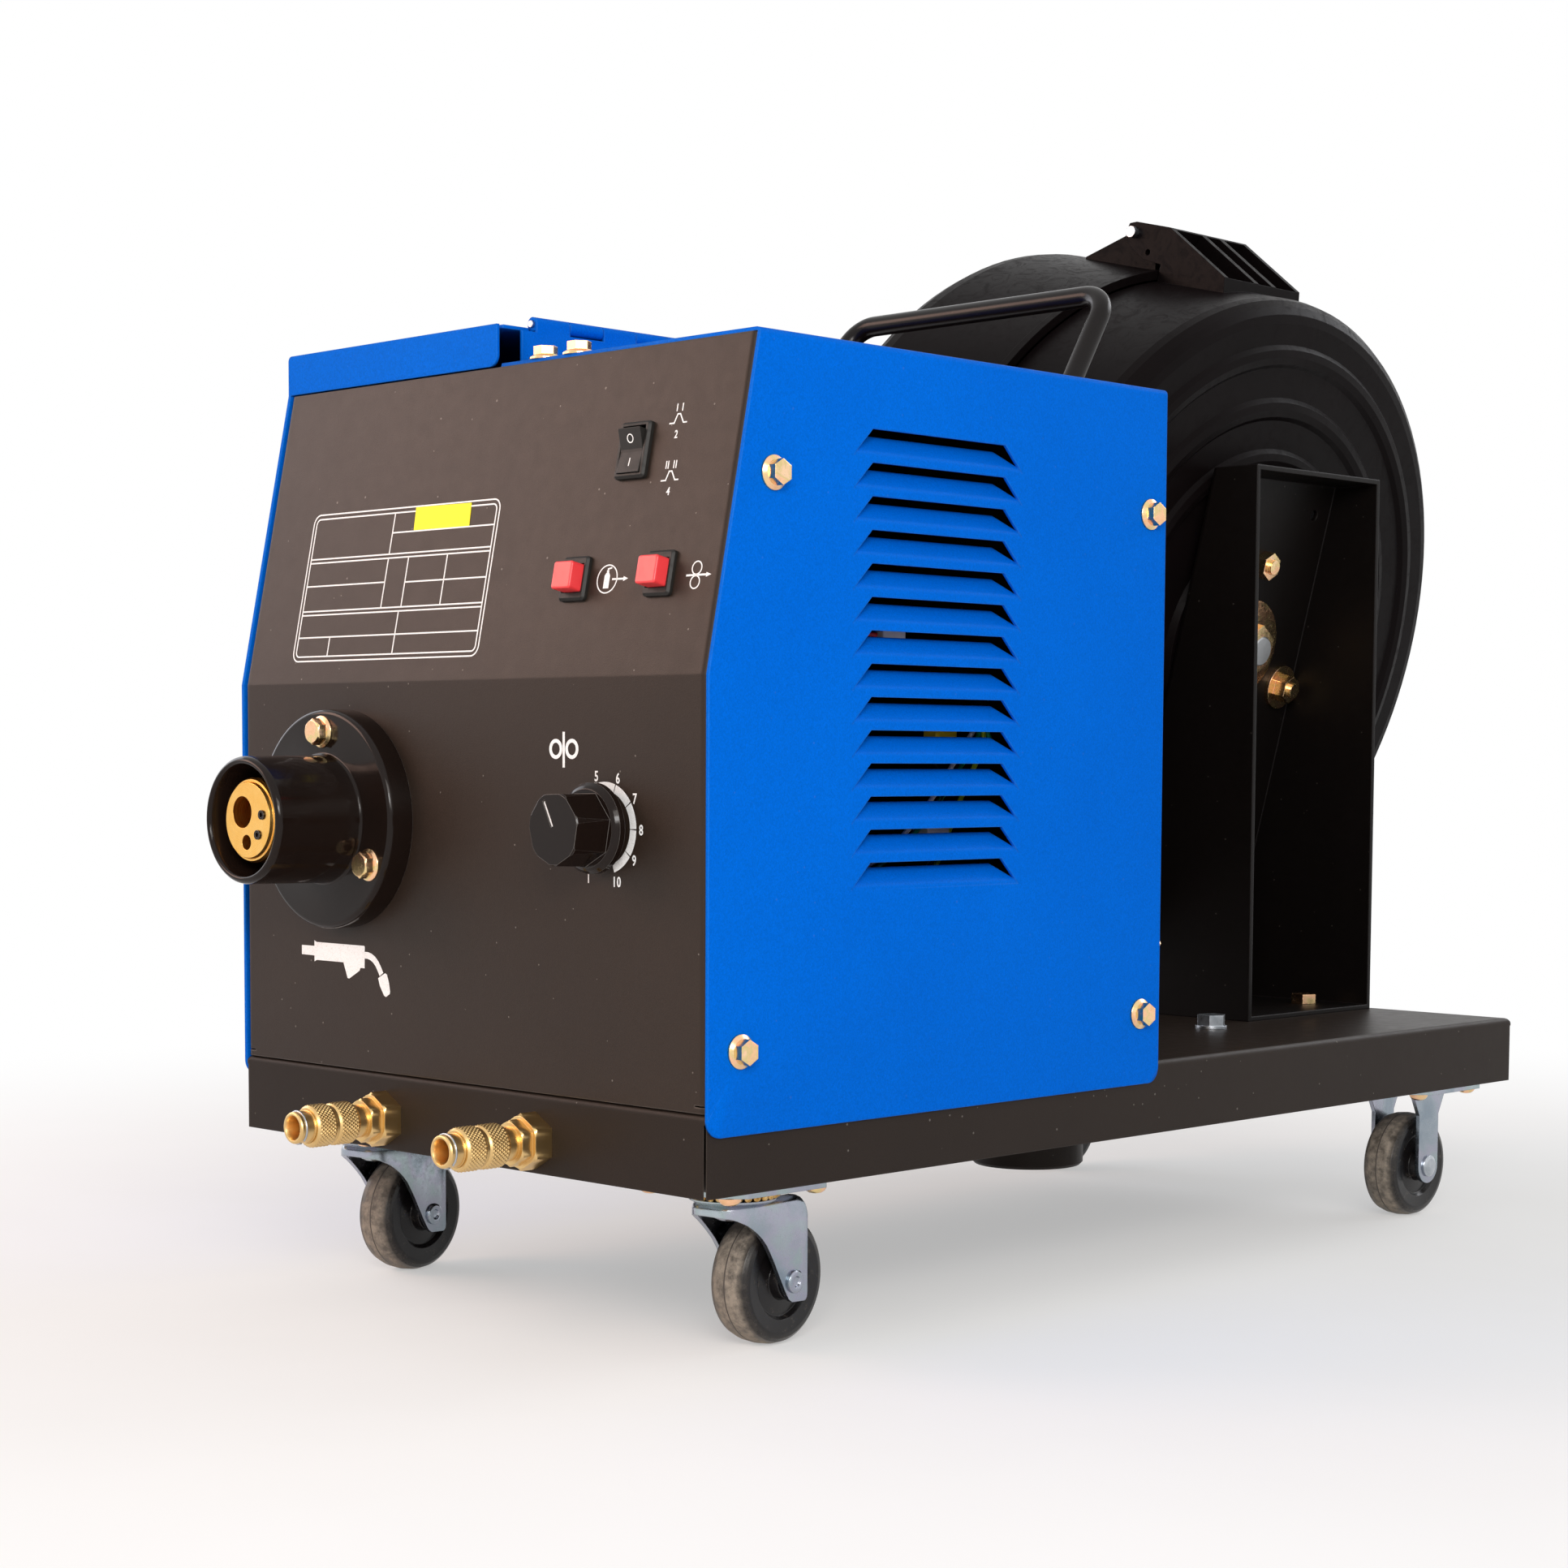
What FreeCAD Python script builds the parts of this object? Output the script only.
import FreeCAD, Part
import math
import os
from FreeCAD import Placement, Rotation, Vector

# Wire feeder: a sheet steel box on a castered tray, with an enclosed wire drum on a post.
# Millimetres. X to the right seen from the front, Y to the rear, Z up, floor at Z = 0.
# Sizes below are in the box's own frame: X = 0 on the box centre, Y = 0 on its front face.

# Position of the whole object: the middle of its outline comes to X = 0, Y = 0.
CENTRE_X = -21.56
CENTRE_Y = 332.2

# Tray
TRAY_HALF = 150.0
TRAY_LENGTH = 592.0
TRAY_EDGE_Z = 70.0
DECK_Z = 103.0
TRAY_SHEET = 2.0

# Casters
WHEEL_R = 27.0
WHEEL_HALF = 10.0
KINGPIN_X = 116.5
KINGPIN_Y = 48.0
TRAIL = 21.5
YAW_RIGHT = 5.4
YAW_LEFT = 9.5
REAR_CASTER_X = 117.0
REAR_CASTER_Y = 543.5
PLATE_BOLT_X = 22.75
PLATE_BOLT_Y = 24.0

# Box
BOX_TOP = 402.4
BOX_BACK = 282.3
LEAN_Z = 270.2
LEAN_Y = 27.05
SHEET = 1.5
COVER_X = 151.5
DOOR_X = 152.0
LIP_Z = 401.7
HINGE_X = -3.0
HINGE_Z = 420.7
HINGE_START = 45.0
KNUCKLE_LENGTH = 18.6
KNUCKLES = 12

# Louvres
LOUVRES = 14
LOUVRE_PITCH = 13.24
LOUVRE_TOP_Z = 369.0
LOUVRE_FOLD = 10.8
LOUVRE_DEPTH = 9.0

# Front fittings
SOCKET_X = -75.5
SOCKET_Z = 211.5
KNOB_X = 93.1
KNOB_Z = 211.0
POINTER_TURN = 117.0
COUPLING_X = (51.0, -47.5)
COUPLING_Z = 83.5

# Rear fittings
POWER_X = 110.0
POWER_Z = 148.0
GAS_X = 110.0
GAS_Z = 205.0
CONTROL_X = 60.0
CONTROL_Z = 170.0

# Wire drive
WIRE_X = -79.5
WIRE_Z = 214.8
ROLL_Y = 122.0
GEAR_TEETH = 24
GEAR_MODULE = 1.25

# Drum
DRUM_ORIGIN = Vector(17.0, 529.5, 300.4)
DRUM_LEAN = 14.0
RIGHT_SHELL_R = 183.5
LEFT_SHELL_R = 187.3
SEAM_X = -79.5
DRUM_FACE_X = -3.5
DRUM_BACK_X = -181.5
SHELL_WALL = 3.0
DRUM_BOLT_R = 45.0
DRUM_BOLT_ANGLES = (90.0, 208.0, -28.0)
PIN_X = -101.0
PIN_Z = 203.5
POST_FRONT = 470.5
POST_BACK = 584.0
FOOT_BOLT_X = 40.0
FOOT_BOLT_Y = (497.0, 562.0)

UP = Vector(0, 0, 1)
RIGHT = Vector(1, 0, 0)
BACK = Vector(0, 1, 0)
FRONT = Vector(0, -1, 0)
LEAN = math.degrees(math.atan2(LEAN_Y, BOX_TOP - LEAN_Z))

os.makedirs("parts", exist_ok=True)


def box(x0, x1, y0, y1, z0, z1):
    return Part.makeBox(x1 - x0, y1 - y0, z1 - z0, Vector(x0, y0, z0))


def rod(point, direction, radius, length):
    return Part.makeCylinder(radius, length, Vector(*point), direction)


def tube(point, direction, outer, inner, length):
    return rod(point, direction, outer, length).cut(rod(point, direction, inner, length))


def face_of(points):
    corners = [Vector(*p) for p in points]
    return Part.Face(Part.makePolygon(corners + [corners[0]]))


def prism_x(points, x0, x1):
    """A solid with a (y, z) outline, running along X."""
    return face_of([(x0, y, z) for y, z in points]).extrude(Vector(x1 - x0, 0, 0))


def prism_y(points, y0, y1):
    """A solid with an (x, z) outline, running along Y."""
    return face_of([(x, y0, z) for x, z in points]).extrude(Vector(0, y1 - y0, 0))


def prism_z(points, z0, z1):
    """A solid with an (x, y) outline, running along Z."""
    return face_of([(x, y, z0) for x, y in points]).extrude(Vector(0, 0, z1 - z0))


def hexagon(point, direction, across_flats, height):
    """A hexagonal prism that starts at a point and runs along a direction."""
    radius = across_flats / math.sqrt(3.0)
    turn = Rotation(UP, direction)
    corners = []
    for k in range(7):
        a = math.radians(60 * k)
        corners.append(Vector(*point) + turn.multVec(Vector(radius * math.cos(a), radius * math.sin(a), 0)))
    return Part.Face(Part.makePolygon(corners)).extrude(direction * height)


def turned(profile, point, axis):
    """A body of revolution: profile points are (distance along the axis, radius)."""
    turn = Rotation(UP, axis)
    corners = [Vector(*point) + turn.multVec(Vector(r, 0, a)) for a, r in profile]
    return Part.Face(Part.makePolygon(corners + [corners[0]])).revolve(Vector(*point), axis, 360)


def rounded(shape, radius, wanted):
    """Fillets the edges for which wanted(edge) is true."""
    edges = [e for e in shape.Edges if wanted(e)]
    return shape.makeFillet(radius, edges)


def straight(edge, direction):
    if not isinstance(edge.Curve, Part.Line):
        return False
    return abs(edge.Curve.Direction.dot(direction)) > 0.9999


def join(shapes):
    first = shapes[0].fuse(shapes[1:]) if len(shapes) > 1 else shapes[0]
    return first.removeSplitter()


def less(shape, tools):
    return shape.cut(tools) if tools else shape


def placed(shape, placement):
    copy = shape.copy()
    copy.Placement = placement.multiply(copy.Placement)
    return copy


def moved(shape, x, y, z):
    return placed(shape, Placement(Vector(x, y, z), Rotation()))


def mirrored(shape):
    return shape.mirror(Vector(0, 0, 0), RIGHT)


def save(name, shape):
    solids = moved(shape, -CENTRE_X, -CENTRE_Y, 0).Solids
    whole = solids[0] if len(solids) == 1 else Part.makeCompound(solids)
    if not whole.isValid() or not solids:
        print("not valid", name)
    whole.exportStep("parts/" + name + ".step")


def front_y(z):
    """The front face's Y at a height."""
    return max(0.0, (z - LEAN_Z) / (BOX_TOP - LEAN_Z) * LEAN_Y)


def on_panel(shape, x, z):
    """Puts a shape made on the XZ plane, facing -Y, on the leaning front panel."""
    return placed(shape, Placement(Vector(x, front_y(z), z), Rotation(RIGHT, -LEAN)))


def on_drum(shape):
    return placed(shape, Placement(DRUM_ORIGIN, Rotation(BACK, DRUM_LEAN)))


def flange_bolt(point, direction, length):
    """M6 flange bolt: its head stands out along the direction, its shank goes the other way."""
    head = Vector(*point)
    flange = turned([(0, 0), (0, 6.8), (0.9, 6.8), (2.0, 5.2), (2.0, 0)], point, direction)
    cap = hexagon(head + direction * 1.5, direction, 8.8, 4.0)
    shank = Part.makeCylinder(3.0, length + 0.5, head - direction * length, direction)
    return join([flange, cap, shank])


def base_tray():
    """An upturned pan: the deck with four folded-down walls and open corner seams."""
    outer = box(-TRAY_HALF, TRAY_HALF, 0, TRAY_LENGTH, TRAY_EDGE_Z, DECK_Z)
    outer = rounded(outer, 3.0, lambda e: e.BoundBox.ZMin > DECK_Z - 1)
    t = TRAY_SHEET
    inner = box(-TRAY_HALF + t, TRAY_HALF - t, t, TRAY_LENGTH - t, TRAY_EDGE_Z - 1, DECK_Z - t)
    cuts = [inner]
    for x in (-TRAY_HALF, TRAY_HALF):
        for y in (0.0, TRAY_LENGTH):
            seam = box(-0.4, 0.4, -0.4, 6.0, TRAY_EDGE_Z - 1, DECK_Z - 4.0)
            seam = placed(seam, Placement(Vector(), Rotation(UP, -45 if x > 0 else 45)))
            if y == 0.0:
                seam = placed(seam, Placement(Vector(), Rotation(UP, 90 if x > 0 else -90)))
            else:
                seam = placed(seam, Placement(Vector(), Rotation(UP, 180)))
            cuts.append(moved(seam, x, y, 0))
    for x in COUPLING_X:
        cuts.append(rod((x, -1, COUPLING_Z), BACK, 6.6, 6))
        cuts.append(rod((x, TRAY_LENGTH - 5, COUPLING_Z), BACK, 6.6, 8))
    return less(outer, cuts)


def cross_members():
    """Two folded channels under the deck that carry the casters."""
    channels = []
    for middle in (KINGPIN_Y, REAR_CASTER_Y):
        y0, y1 = middle - 36.0, middle + 36.0
        x1 = TRAY_HALF - TRAY_SHEET
        channel = box(-x1, x1, y0, y1, TRAY_EDGE_Z, DECK_Z - TRAY_SHEET)
        channel = rounded(channel, 3.0, lambda e: straight(e, RIGHT) and e.BoundBox.ZMax < TRAY_EDGE_Z + 1)
        cuts = [box(-x1 - 1, x1 + 1, y0 + 2, y1 - 2, TRAY_EDGE_Z + 2, DECK_Z)]
        for x in COUPLING_X:
            cuts.append(rod((x, y0 - 1, COUPLING_Z), BACK, 8.5, 74))
        channels.append(less(channel, cuts))
    return Part.makeCompound(channels)


def caster_plate(z_low, bolt_y=PLATE_BOLT_Y):
    """The square mounting plate with clipped corners; the bolt heads hide inside the channel."""
    a, b = 31.0, 22.0
    points = [(a, -b), (a, b), (b, a), (-b, a), (-a, b), (-a, -b), (-b, -a), (b, -a)]
    plate = prism_z(points, z_low, TRAY_EDGE_Z)
    for x in (-PLATE_BOLT_X, PLATE_BOLT_X):
        for y in (-bolt_y, bolt_y):
            plate = plate.cut(rod((x, y, z_low - 1), UP, 3.25, 5))
    return plate


def swivel_plate():
    """Plate, upper ball race and kingpin rivet in one: the fork turns on the rivet."""
    race = turned([(63.6, 8), (63.6, 14.5), (64.8, 17), (67.5, 17), (67.5, 8)], (0, 0, 0), UP)
    rivet = turned([(53.7, 0), (53.7, 6.5), (54.6, 8), (56.7, 8), (56.7, 5), (67.5, 5), (67.5, 0)],
                   (0, 0, 0), UP)
    neck = rod((0, 0, 63.6), UP, 8.0, 3.9)
    return join([caster_plate(67.5), race, rivet, neck])


def fork_leg(x0, x1, crown_front, crown_back, foot_y):
    """One leg: wide under the crown, swept back to a narrow rounded foot round the axle."""
    foot = 8.0
    outline = [(crown_front, 57.5), (crown_back, 57.5), (foot_y + foot, WHEEL_R + 4.0),
               (foot_y + foot, WHEEL_R), (foot_y - foot, WHEEL_R), (foot_y - foot * 0.8, WHEEL_R + 8.0)]
    return prism_x(outline, x0, x1).fuse(rod((x0, foot_y, WHEEL_R), RIGHT, foot, x1 - x0))


def swivel_fork():
    """Pressed fork: a dished crown with a skirt, the lower race and two legs swept back by the trail."""
    crown = turned([(54.9, 25), (57.6, 25), (59.3, 23.3), (59.3, 5.06), (57.0, 5.06), (57.0, 22.6), (54.9, 22.9)],
                   (0, 0, 0), UP)
    race = turned([(59.0, 8.5), (59.0, 20), (61.6, 20), (63.3, 17.5), (63.3, 14), (62.0, 12), (62.0, 8.5)],
                  (0, 0, 0), UP)
    legs = []
    for x in (-14.6, 12.4):
        leg = fork_leg(x, x + 2.2, -13.0, 19.0, TRAIL)
        legs.append(leg.cut(rod((x - 1, TRAIL, WHEEL_R), RIGHT, 4.0, 5)))
    return join([crown, race] + legs)


def rigid_fork():
    """Rear fork: two straight legs with a rounded foot, bent down from the plate."""
    plate = caster_plate(67.5, PLATE_BOLT_Y - 1)
    shapes = [plate]
    for x in (-14.6, 12.4):
        leg = prism_x([(-17, 69.0), (17, 69.0), (9, 54), (9, WHEEL_R), (-9, WHEEL_R), (-9, 54)], x, x + 2.2)
        foot = rod((x, 0, WHEEL_R), RIGHT, 9.0, 2.2)
        shapes.append(leg.fuse(foot).cut(rod((x - 1, 0, WHEEL_R), RIGHT, 4.0, 5)))
    return join(shapes)


def wheel():
    """Rubber wheel: rounded tread, a stepped recess on each side and a hub as wide as the fork allows."""
    half = [(-12.0, 4.07), (-12.0, 7.5), (-8.0, 8.5), (-7.0, 15.0), (-9.0, 16.5), (-9.6, 22.0)]
    tread = []
    for k in range(7):
        a = math.radians(180 - 30 * k)
        tread.append((7.6 * math.cos(a) * 1.2, 24.0 + 3.0 * math.sin(a)))
    other = [(-x, r) for x, r in reversed(half)]
    return turned(half + tread + other, (0, 0, 0), RIGHT)


def axle():
    """Axle rivet with a low head on each end."""
    profile = [(-16.3, 0), (-16.3, 4.0), (-15.6, 5.6), (-14.6, 5.6), (-14.6, 4.0), (14.6, 4.0),
               (14.6, 5.6), (15.6, 5.6), (16.3, 4.0), (16.3, 0)]
    return turned(profile, (0, 0, 0), RIGHT)


def caster_bolt(x, y):
    """M6 bolt down through the channel and the plate, its nut below."""
    head = hexagon((x, y, TRAY_EDGE_Z + 2), UP, 10.0, 4.0)
    shank = rod((x, y, 60.8), UP, 3.0, 12.0)
    nut = hexagon((x, y, 62.3), UP, 10.0, 5.2)
    return join([head, shank, nut])


def build_casters():
    places = {"right": (KINGPIN_X, YAW_RIGHT), "left": (-KINGPIN_X, YAW_LEFT)}
    plates = []
    bolts = []
    for side, (x, yaw) in places.items():
        here = Placement(Vector(x, KINGPIN_Y, 0), Rotation())
        turned_here = Placement(Vector(x, KINGPIN_Y, 0), Rotation(UP, yaw))
        plates.append(placed(swivel_plate(), here))
        save("front_fork_" + side, placed(swivel_fork(), turned_here))
        save("front_axle_" + side, placed(moved(axle(), 0, TRAIL, WHEEL_R), turned_here))
        save("front_wheel_" + side, placed(moved(wheel(), 0, TRAIL, WHEEL_R), turned_here))
        for bx in (-PLATE_BOLT_X, PLATE_BOLT_X):
            for by in (-PLATE_BOLT_Y, PLATE_BOLT_Y):
                bolts.append(caster_bolt(x + bx, KINGPIN_Y + by))
    save("swivel_plates", Part.makeCompound(plates))
    forks = []
    axles = []
    for side, x in (("right", REAR_CASTER_X), ("left", -REAR_CASTER_X)):
        forks.append(moved(rigid_fork(), x, REAR_CASTER_Y, 0))
        axles.append(moved(axle(), x, REAR_CASTER_Y, WHEEL_R))
        save("rear_wheel_" + side, moved(wheel(), x, REAR_CASTER_Y, WHEEL_R))
        for bx in (-PLATE_BOLT_X, PLATE_BOLT_X):
            for by in (-PLATE_BOLT_Y + 1, PLATE_BOLT_Y - 1):
                bolts.append(caster_bolt(x + bx, REAR_CASTER_Y + by))
    save("rear_forks", Part.makeCompound(forks))
    save("rear_axles", Part.makeCompound(axles))
    save("caster_bolts", Part.makeCompound(bolts))


def pivot_socket():
    """Socket under the deck that drops over the swivel pin of the power source."""
    barrel = turned([(32, 20.9), (32, 27), (33.5, 28.5), (97, 28.5), (97, 20), (33, 20)], (0, 374, 0), UP)
    plate = rounded(box(-85, 85, 320, 436, 97, 101), 8.0, lambda e: straight(e, UP))
    plate = plate.cut(rod((0, 374, 96), UP, 20.0, 6))
    ribs = []
    for k in range(4):
        rib = prism_y([(28.0, 97.5), (46.0, 97.5), (28.0, 66.0)], -2.0, 2.0)
        ribs.append(moved(placed(rib, Placement(Vector(), Rotation(UP, 45 + 90 * k))), 0, 374, 0))
    for x in (-75, 75):
        for y in (328, 428):
            plate = plate.cut(rod((x, y, 96), UP, 4.2, 6))
    return join([barrel, plate] + ribs)


def pivot_bolts():
    """Four M8 bolts through the deck: heads on top, nuts below the carrier plate."""
    bolts = []
    for x in (-75, 75):
        for y in (328, 428):
            head = hexagon((x, y, DECK_Z + 1.6), UP, 13.0, 5.3)
            washer = rod((x, y, DECK_Z), UP, 8.0, 1.6)
            shank = rod((x, y, 87), UP, 4.0, 17.6)
            nut = hexagon((x, y, 90.5), UP, 13.0, 6.5)
            bolts.append(join([head, washer, shank, nut]))
    return Part.makeCompound(bolts)


def build_base():
    tray = base_tray()
    members = cross_members()
    holes = []
    for x in (-75, 75):
        for y in (328, 428):
            holes.append(rod((x, y, 90), UP, 4.2, 20))
    for y in FOOT_BOLT_Y:
        holes.append(rod((FOOT_BOLT_X, y, 90), UP, 4.2, 20))
    save("base_tray", less(tray, holes))
    drills = []
    for side_x in (KINGPIN_X, -KINGPIN_X):
        for bx in (-PLATE_BOLT_X, PLATE_BOLT_X):
            for by in (-PLATE_BOLT_Y, PLATE_BOLT_Y):
                drills.append(rod((side_x + bx, KINGPIN_Y + by, 60), UP, 3.25, 14))
    for side_x in (REAR_CASTER_X, -REAR_CASTER_X):
        for bx in (-PLATE_BOLT_X, PLATE_BOLT_X):
            for by in (-PLATE_BOLT_Y + 1, PLATE_BOLT_Y - 1):
                drills.append(rod((side_x + bx, REAR_CASTER_Y + by, 60), UP, 3.25, 14))
    save("cross_members", less(members, drills))
    save("pivot_socket", pivot_socket())
    save("pivot_bolts", pivot_bolts())
    build_casters()



def front_profile(z0, z1, inset=0.0):
    """The front line of the box between two heights, as (y, z) points."""
    return [(inset, z0), (inset, LEAN_Z), (front_y(z1) + inset, z1)]


def panel_holes():
    """Openings of the front panel for the fittings."""
    holes = [rod((SOCKET_X, -1, SOCKET_Z), BACK, 24.0, 20), rod((KNOB_X, -1, KNOB_Z), BACK, 5.0, 20)]
    for a in (90, -30, -150):
        x = SOCKET_X + 37.5 * math.cos(math.radians(a))
        z = SOCKET_Z + 37.5 * math.sin(math.radians(a))
        holes.append(rod((x, -1, z), BACK, 3.3, 20))
    for x, z, w, h in ((67.5, 309.1, 13.6, 15.6), (116.7, 309.3, 13.6, 15.6), (91.1, 358.8, 15.0, 21.0)):
        holes.append(on_panel(box(-w / 2, w / 2, -8, 12, -h / 2, h / 2), x, z))
    return holes


def front_panel():
    """Pan of folded sheet: upright below, leaning back above, with side, top and foot flanges."""
    deep = 28.0
    left, right = -TRAY_HALF + 0.5, TRAY_HALF
    foot = DECK_Z
    top = BOX_TOP - SHEET
    line = front_profile(foot, top)
    outer = prism_x(line + [(line[2][0] + deep, top), (deep, LEAN_Z), (deep, foot)], left, right)
    outer = rounded(outer, 3.0, lambda e: e.BoundBox.XLength < 0.01 and e.BoundBox.YMin < 27.1
                    and e.BoundBox.ZLength > 50)
    inner_line = front_profile(foot + SHEET, top - SHEET, SHEET)
    inner = prism_x(inner_line + [(inner_line[2][0] + 60, top - SHEET), (60, foot + SHEET)],
                    left + SHEET, right - SHEET)
    inner = rounded(inner, 1.6, lambda e: e.BoundBox.XLength < 0.01 and e.BoundBox.YMin < 30
                    and e.BoundBox.ZLength > 50)
    shell = outer.cut(inner)
    foot_trim = box(left - 1, right + 1, 18, 60, foot - 1, foot + 5)
    seams = [box(left - 1, left + 6, -1, 60, foot + 2.5, foot + 3.1),
             box(right - 6, right + 1, -1, 60, foot + 2.5, foot + 3.1)]
    drills = [rod((140, y, z), RIGHT, 3.25, 14) for y, z in side_bolts()[:2]]
    drills += [rod((x, y, 390), UP, 3.25, 20) for x, y in top_bolts()]
    return less(shell, [foot_trim] + seams + panel_holes() + drills)


def side_bolts():
    return [(17.2, 126.1), (34.0, 347.7), (270.7, 346.8), (268.0, 125.3)]


def top_bolts():
    return [(19.5, 33.0), (40.5, 33.0)]


def rear_holes():
    return [rod((WIRE_X, 270, WIRE_Z), BACK, 8.2, 20), rod((POWER_X, 270, POWER_Z), BACK, 17.2, 20),
            rod((CONTROL_X, 270, CONTROL_Z), BACK, 12.2, 20), rod((GAS_X, 270, GAS_Z), BACK, 6.2, 20),
            rod((143, 270, 155.7), BACK, 3.25, 20)]


def rear_panel():
    """Pan of folded sheet, open to the front, that closes the back of the box."""
    deep = 24.0
    left, right = -TRAY_HALF + 0.5, TRAY_HALF
    top = BOX_TOP - SHEET
    outer = box(left, right, BOX_BACK - deep, BOX_BACK, DECK_Z, top)
    outer = rounded(outer, 3.0, lambda e: straight(e, UP) and e.BoundBox.YMin > BOX_BACK - 1)
    inner = box(left + SHEET, right - SHEET, BOX_BACK - deep - 1, BOX_BACK - SHEET, DECK_Z + SHEET, top - SHEET)
    drills = [rod((140, y, z), RIGHT, 3.25, 14) for y, z in side_bolts()[2:]]
    for x in (-82, 82):
        for z in (342, 372):
            drills.append(rod((x, 270, z), BACK, 3.25, 20))
    return less(outer, [inner] + rear_holes() + drills)


def divider():
    """Inner wall between the wire drive and the electrics; it also backs the hinge flange."""
    high, low = 413.5, BOX_TOP - 2 * SHEET
    line = front_profile(DECK_Z + SHEET, low, SHEET)
    outline = line + [(56.5, low), (56.5, high), (257.0, high), (257.0, low),
                      (BOX_BACK - SHEET, low), (BOX_BACK - SHEET, DECK_Z + SHEET)]
    wall = prism_x(outline, -3.0, -1.5)
    foot = box(-1.5, 14.0, 40, 240, DECK_Z, DECK_Z + SHEET)
    heel = box(-3.0, -1.5, 40, 240, DECK_Z, DECK_Z + SHEET + 0.1)
    motor = rod((-10, ROLL_Y, WIRE_Z - 15.0), RIGHT, 31.0, 20)
    hose = rod((-10, 230, 140), RIGHT, 7.0, 20)
    strap = rod((-10, 248, POWER_Z), RIGHT, 8.0, 20)
    return less(join([wall, foot, heel]), [motor, hose, strap])


def louvre(k):
    """One louvre as two solids: the pocket's outside and the space that it leaves open.

    The sheet is cut along the upper line, and the tongue below it is pressed inward about the
    fold line, so the sloping ends stay joined to the sheet and the pocket opens upward.
    """
    top = LOUVRE_TOP_Z - k * LOUVRE_PITCH
    fold = top - LOUVRE_FOLD
    x0, x1 = COVER_X, COVER_X - LOUVRE_DEPTH
    edge = top - 3.4

    def wedge(ends, lift, depth):
        f0, f1, c0, c1 = ends
        low = [(x0, f0, fold + lift), (x0, f1, fold + lift)]
        high = [(x0, c0, top), (x0, c1, top)]
        inner = [(x0 - depth, c0 + 1.2, edge), (x0 - depth, c1 - 1.2, edge)]
        faces = [face_of([low[0], low[1], inner[1], inner[0]]),
                 face_of([high[0], high[1], inner[1], inner[0]]),
                 face_of([low[0], low[1], high[1], high[0]]),
                 face_of([low[0], high[0], inner[0]]),
                 face_of([low[1], high[1], inner[1]])]
        solid = Part.makeSolid(Part.makeShell(faces))
        if solid.Volume < 0:
            solid.reverse()
        return solid

    outside = wedge((79.3, 182.5, 90.4, 172.9), 0.0, LOUVRE_DEPTH)
    open_space = wedge((82.2, 179.6, 91.9, 171.4), 1.9, LOUVRE_DEPTH - 0.9)
    return outside, open_space


def folded_corner(x_in, x_out, low, top):
    """Side sheet and roof in one, folded along Y, with the front cut to the box's leaning line."""
    side = 1 if x_out > 0 else -1
    x_wall = x_out - side * SHEET
    outer = box(min(x_in, x_out), max(x_in, x_out), 0, BOX_BACK, low, top)
    outer = rounded(outer, 2.4, lambda e: straight(e, BACK) and e.BoundBox.ZMin > top - 0.1
                    and abs(e.BoundBox.XMin - x_out) < 0.1)
    outer = rounded(outer, 7.0, lambda e: straight(e, RIGHT) and e.BoundBox.ZMax < low + 0.1)
    inner = box(min(x_in - side, x_wall), max(x_in - side, x_wall), -1, BOX_BACK + 1, low - 1, top - SHEET)
    front = prism_x([(-5, LEAN_Z), (0, LEAN_Z), (front_y(top), top), (front_y(top), top + 1), (-5, top + 1)],
                    -200, 200)
    return outer.cut([inner, front])


def right_cover():
    """Fixed cover: louvred side sheet, right half of the top and the hinge flange with its knuckles."""
    low = DECK_Z - 9.5
    top = BOX_TOP
    sheet = folded_corner(-1.5, COVER_X, low, top)
    pockets = [louvre(k) for k in range(LOUVRES)]
    sheet = sheet.fuse([outside for outside, space in pockets])
    sheet = sheet.cut([space for outside, space in pockets])
    flange = box(-1.5, 0.0, HINGE_START - 8, BOX_BACK - 8, top - 1, HINGE_Z)
    for k in range(KNUCKLES):
        start = HINGE_START + k * (KNUCKLE_LENGTH + 0.4)
        end = start + KNUCKLE_LENGTH
        if k % 2 == 1:
            flange = flange.cut(box(-4, 2, start - 0.4, end + 0.4, HINGE_Z - 3.6, HINGE_Z + 5))
    flange = flange.cut([box(-4, 2, HINGE_START - 20, HINGE_START, HINGE_Z - 3.6, HINGE_Z + 5),
                         box(-4, 2, HINGE_START + KNUCKLES * (KNUCKLE_LENGTH + 0.4) - 0.4, BOX_BACK,
                             HINGE_Z - 3.6, HINGE_Z + 5)])
    flange = flange.fuse([hinge_tube(k, 3.0) for k in range(0, KNUCKLES, 2)])
    flange = flange.cut(hinge_bore())
    drills = [rod((140, y, z), RIGHT, 3.25, 14) for y, z in side_bolts()]
    drills += [rod((x, y, 390), UP, 3.25, 20) for x, y in top_bolts()]
    return less(join([sheet, flange]), drills)


def hinge_tube(k, radius):
    start = HINGE_START + k * (KNUCKLE_LENGTH + 0.4)
    return rod((HINGE_X, start, HINGE_Z), BACK, radius, KNUCKLE_LENGTH)


def hinge_bore():
    return rod((HINGE_X, HINGE_START - 5, HINGE_Z), BACK, 1.56, KNUCKLES * (KNUCKLE_LENGTH + 0.4) + 10)


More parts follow.
